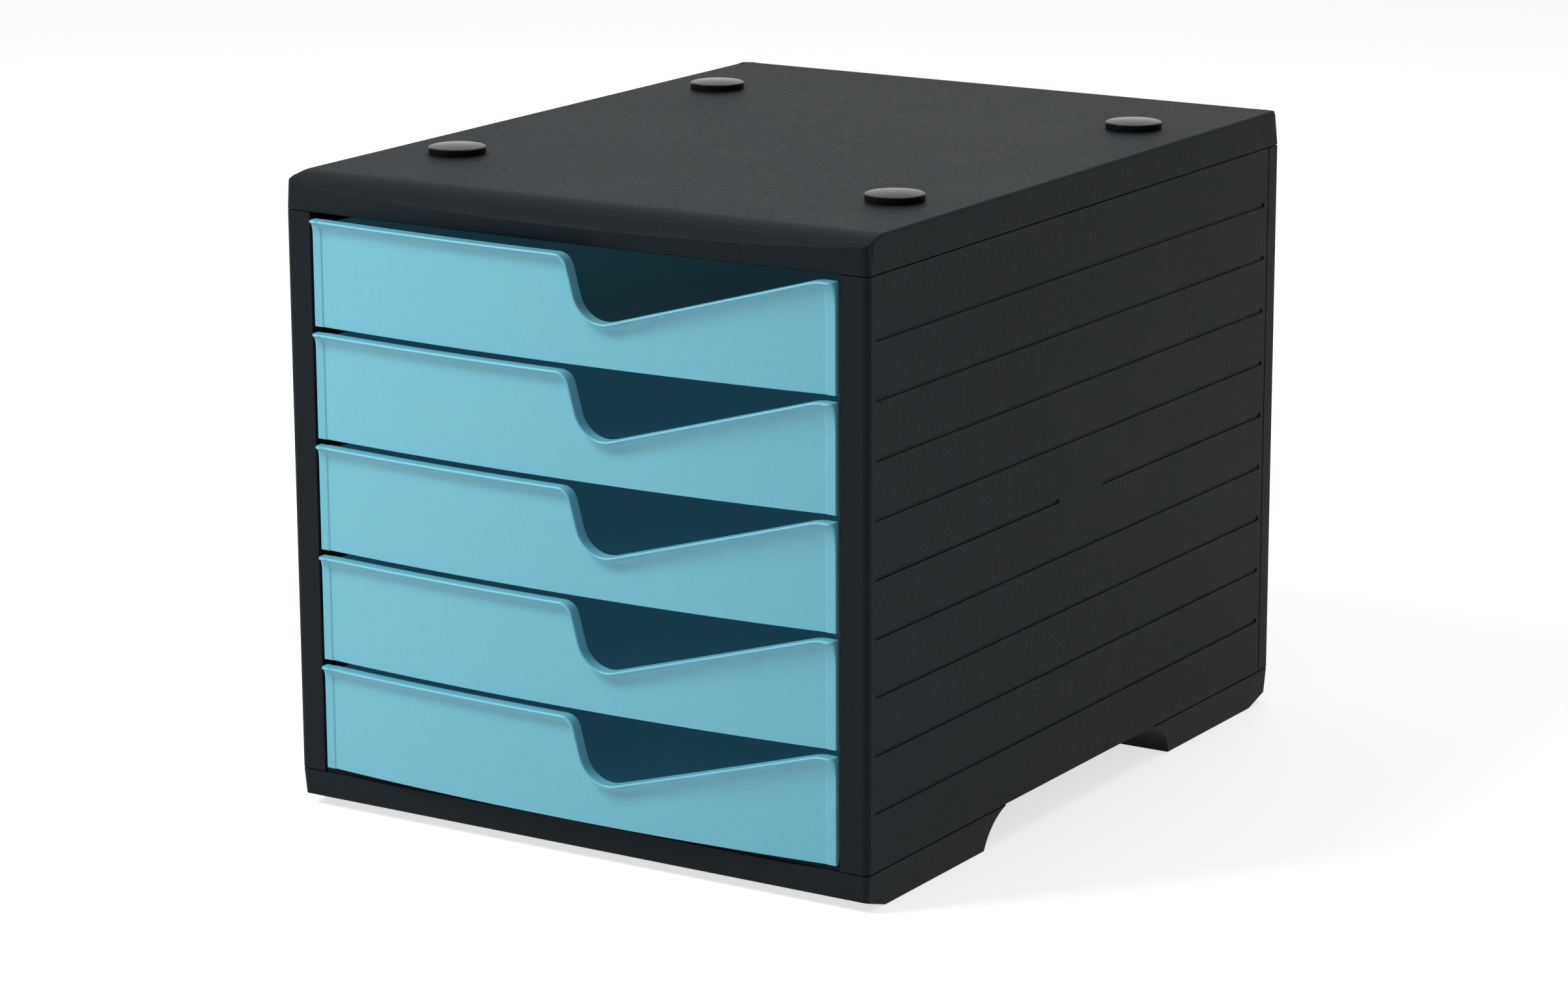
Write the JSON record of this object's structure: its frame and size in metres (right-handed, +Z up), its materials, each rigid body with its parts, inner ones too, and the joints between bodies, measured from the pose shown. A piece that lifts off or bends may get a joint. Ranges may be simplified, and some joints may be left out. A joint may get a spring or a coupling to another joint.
{
  "type": "desktop drawer box",
  "caption": "Desktop drawer box: open trays with scooped, flared fronts slide in a ribbed housing on feet, with stacking discs on the top cover.",
  "frame": {"origin": "bottom centre of the box that holds the object, on the plane that the feet stand on", "axes": "+Z up, +Y from the drawer fronts to the back, +X to the right seen from the front"},
  "size_m": [0.275, 0.3542, 0.2695],
  "materials": {
    "housing_plastic": "fine grained matt black moulded plastic",
    "disc_plastic": "polished black plastic",
    "drawer_plastic": "satin light turquoise moulded plastic"
  },
  "bodies": {
    "housing": {"top_cover": "housing_plastic", "side_panel_right": "housing_plastic", "side_panel_left": "housing_plastic", "rear_panel": "housing_plastic", "base": "housing_plastic", "stacking_disc_front_left": "disc_plastic", "stacking_disc_front_right": "disc_plastic", "stacking_disc_rear_left": "disc_plastic", "stacking_disc_rear_right": "disc_plastic"},
    "drawer_1": {"drawer_1": "drawer_plastic"},
    "drawer_2": {"drawer_2": "drawer_plastic"},
    "drawer_3": {"drawer_3": "drawer_plastic"},
    "drawer_4": {"drawer_4": "drawer_plastic"},
    "drawer_5": {"drawer_5": "drawer_plastic"}
  },
  "joints": [
    {"name": "drawer_1_slide", "type": "slide", "parent": "housing", "child": "drawer_1", "axis": [0, -1, 0], "range_m": [0, 0.25]},
    {"name": "drawer_2_slide", "type": "slide", "parent": "housing", "child": "drawer_2", "axis": [0, -1, 0], "range_m": [0, 0.25]},
    {"name": "drawer_3_slide", "type": "slide", "parent": "housing", "child": "drawer_3", "axis": [0, -1, 0], "range_m": [0, 0.25]},
    {"name": "drawer_4_slide", "type": "slide", "parent": "housing", "child": "drawer_4", "axis": [0, -1, 0], "range_m": [0, 0.25]},
    {"name": "drawer_5_slide", "type": "slide", "parent": "housing", "child": "drawer_5", "axis": [0, -1, 0], "range_m": [0, 0.25]}
  ]
}
